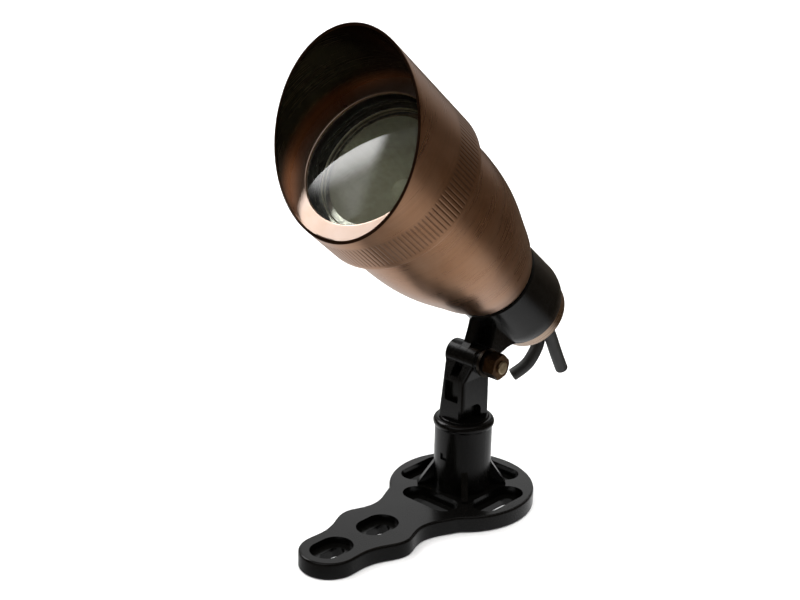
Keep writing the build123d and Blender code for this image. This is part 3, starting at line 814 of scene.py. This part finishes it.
def fade(t, source, lo, hi, a, b):
    n = t.nodes.new("ShaderNodeMapRange")
    n.interpolation_type = "SMOOTHSTEP"
    t.links.new(source, n.inputs["Value"])
    for k, v in (("From Min", lo), ("From Max", hi), ("To Min", a), ("To Max", b)):
        n.inputs[k].default_value = v
    return n.outputs[0]


def product(t, a, b):
    n = t.nodes.new("ShaderNodeMath")
    n.operation = "MULTIPLY"
    t.links.new(a, n.inputs[0])
    if isinstance(b, bpy.types.NodeSocket):
        t.links.new(b, n.inputs[1])
    else:
        n.inputs[1].default_value = b
    return n.outputs[0]


def axes_of(t):
    tex = t.nodes.new("ShaderNodeTexCoord")
    sep = t.nodes.new("ShaderNodeSeparateXYZ")
    t.links.new(tex.outputs["Object"], sep.inputs[0])
    return sep.outputs


def away(t, cx, cy):
    """Distance from a spot on a card."""
    tex = t.nodes.new("ShaderNodeTexCoord")
    n = t.nodes.new("ShaderNodeVectorMath")
    n.operation = "DISTANCE"
    t.links.new(tex.outputs["Object"], n.inputs[0])
    n.inputs[1].default_value = (cx, cy, 0.0)
    return n.outputs["Value"]


# pale floor
floor = flat_card("floor", (0, 0, -0.0002), (1, 0, 0), (0, 1, 0), 60, 60)
fl = Look("floor_white", Roughness=0.7)
fl.set("Specular IOR Level", 0.1)
fl.set("Base Color", (0.93, 0.93, 0.93))
floor.data.materials.append(fl.mat)
floor.visible_glossy = False

# white paper backdrop round the floor, for low views
mesh = bpy.data.meshes.new("backdrop")
ring = [(2.6 * math.cos(math.tau * i / 96), 2.6 * math.sin(math.tau * i / 96)) for i in range(96)]
mesh.from_pydata([(x, y, z) for z in (-0.0002, 6.0) for x, y in ring], [], [(i, (i + 1) % 96, 96 + (i + 1) % 96, 96 + i) for i in range(96)])
backdrop = link(bpy.data.objects.new("backdrop", mesh))
backdrop.data.materials.append(glow("backdrop_white", lambda t: 1.0))
backdrop.visible_diffuse = False
backdrop.visible_glossy = False
backdrop.visible_transmission = False
backdrop.visible_shadow = False


# lit patch of floor that the polished surfaces mirror
def patch(t):
    x, y, z = axes_of(t)
    along = fade(t, y, 0.055, 0.135, 1.0, 0.12)
    side = fade(t, x, -0.04, 0.36, 1.0, 0.30)
    front = fade(t, y, -0.110, -0.058, 0.10, 1.0)
    far = fade(t, x, -0.60, -0.20, 0.2, 1.0)
    rise = product(t, fade(t, y, 0.35, 1.60, 0.0, 3.0), fade(t, x, 0.10, 0.40, 0.0, 1.0))
    more = t.nodes.new("ShaderNodeMath")
    t.links.new(rise, more.inputs[0])
    more.inputs[1].default_value = 1.0
    deep = more.outputs[0]
    shadow = fade(t, away(t, 0.045, -0.055), 0.0, 0.10, 0.40, 1.0)
    pool = product(t, fade(t, away(t, 0.35, 0.31), 0.0, 0.24, 1.0, 0.0), 0.125)
    lit = product(t, product(t, product(t, along, side), product(t, front, far)), product(t, product(t, deep, shadow), 0.93))
    both = t.nodes.new("ShaderNodeMath")
    t.links.new(lit, both.inputs[0])
    t.links.new(pool, both.inputs[1])
    return both.outputs[0]


bounce = flat_card("floor_bounce", (0, 0, -0.0004), (1, 0, 0), (0, 1, 0), 8, 8)
bounce.data.materials.append(glow("bounce_glow", patch, (1.0, 0.74, 0.50)))
bounce.visible_camera = False
bounce.visible_diffuse = False
bounce.visible_shadow = False
bounce.visible_transmission = False

# key softbox, upper left
LENS_C = HEAD_ORIGIN + AX * 89.6 * MM
KEY = Vector((-0.66, -0.37, 0.65)).normalized()
KEY_X = Vector((0.489, -0.872, 0.0)).normalized()
KEY_Y = KEY.cross(KEY_X).normalized()
KEY_W, KEY_H = 0.80, 0.80
KEY_EDGE = KEY_W / 2 - 0.045 + 0.003


def key_shape(t):
    x, y, z = axes_of(t)
    lean = t.nodes.new("ShaderNodeMath")
    lean.operation = "MULTIPLY_ADD"
    t.links.new(y, lean.inputs[0])
    lean.inputs[1].default_value = 1.03
    t.links.new(x, lean.inputs[2])
    right_edge = fade(t, lean.outputs[0], KEY_EDGE - 0.014, KEY_EDGE + 0.010, 1.0, 0.03)
    spill = t.nodes.new("ShaderNodeMath")
    t.links.new(fade(t, x, KEY_EDGE - 0.025, KEY_EDGE + 0.006, 0.95, 0.0), spill.inputs[0])
    t.links.new(fade(t, y, -0.062, -0.038, 0.05, 0.16), spill.inputs[1])
    falloff = spill.outputs[0]
    left_edge = fade(t, x, -KEY_W / 2, -KEY_W / 2 + 0.15, 0.2, 1.0)
    top = fade(t, y, KEY_H / 2 - 0.15, KEY_H / 2, 1.0, 0.2)
    low = fade(t, y, -KEY_H / 2, -KEY_H / 2 + 0.15, 0.2, 1.0)
    dip = fade(t, y, -0.080, -0.066, 0.25, 1.0)
    deep_left = fade(t, x, KEY_EDGE - 0.060, KEY_EDGE - 0.030, 1.0, 0.0)
    keep = t.nodes.new("ShaderNodeMath")
    keep.operation = "MAXIMUM"
    t.links.new(dip, keep.inputs[0])
    t.links.new(deep_left, keep.inputs[1])
    shape = product(t, product(t, product(t, right_edge, falloff), keep.outputs[0]), product(t, left_edge, product(t, top, low)))
    return product(t, shape, 6.2)


key = flat_card("key_softbox", LENS_C + KEY * 1.3 + KEY_X * (0.045 - KEY_W / 2) , KEY_X, KEY_Y, KEY_W, KEY_H)
key.data.materials.append(glow("key_glow", key_shape))
key.visible_camera = False

# even light for the floor, not mirrored by the object
lamp = bpy.data.lights.new("overhead", "AREA")
lamp.shape = "SQUARE"
lamp.size = 6.0
lamp.energy = 420.0
overhead = link(bpy.data.objects.new("overhead", lamp))
overhead.location = (0, 0.6, 4.0)
overhead.visible_glossy = False
overhead.visible_camera = False

# dark studio round it, paler wall behind
world = bpy.data.worlds.new("studio")
scene.world = world
world.use_nodes = True
wt = world.node_tree
wt.nodes.clear()
w_out = wt.nodes.new("ShaderNodeOutputWorld")
w_bg = wt.nodes.new("ShaderNodeBackground")
w_tex = wt.nodes.new("ShaderNodeTexCoord")
w_dot = wt.nodes.new("ShaderNodeVectorMath")
w_dot.operation = "DOT_PRODUCT"
w_dot.inputs[1].default_value = (-0.520, 0.742, 0.423)
wt.links.new(w_tex.outputs["Generated"], w_dot.inputs[0])
w_fade = wt.nodes.new("ShaderNodeMapRange")
w_fade.interpolation_type = "SMOOTHSTEP"
for k, v in (("From Min", 0.60), ("From Max", 1.0), ("To Min", 0.05), ("To Max", 0.52)):
    w_fade.inputs[k].default_value = v
wt.links.new(w_dot.outputs["Value"], w_fade.inputs["Value"])
w_top = wt.nodes.new("ShaderNodeVectorMath")
w_top.operation = "DOT_PRODUCT"
w_top.inputs[1].default_value = (0.10, 0.0, 0.995)
wt.links.new(w_tex.outputs["Generated"], w_top.inputs[0])
w_ceiling = fade(wt, w_top.outputs["Value"], 0.86, 0.985, 0.0, 0.60)
w_wall = fade(wt, w_dot.outputs["Value"], 0.93, 0.995, 0.0, 0.42)
w_ahead = wt.nodes.new("ShaderNodeVectorMath")
w_ahead.operation = "DOT_PRODUCT"
w_ahead.inputs[1].default_value = (0.0, -0.616, 0.788)
wt.links.new(w_tex.outputs["Generated"], w_ahead.inputs[0])
w_fill = fade(wt, w_ahead.outputs["Value"], 0.88, 0.97, 0.0, 0.80)


def total(*parts):
    level = parts[0]
    for part in parts[1:]:
        n = wt.nodes.new("ShaderNodeMath")
        wt.links.new(level, n.inputs[0])
        wt.links.new(part, n.inputs[1])
        level = n.outputs[0]
    return level


w_level = total(w_fade.outputs[0], w_ceiling, w_wall, w_fill)
wt.links.new(w_level, w_bg.inputs["Strength"])
wt.links.new(warmth(wt, w_level, (1.0, 0.76, 0.54)), w_bg.inputs["Color"])
wt.links.new(w_bg.outputs[0], w_out.inputs[0])

scene.view_settings.view_transform = "Standard"
scene.view_settings.look = "None"
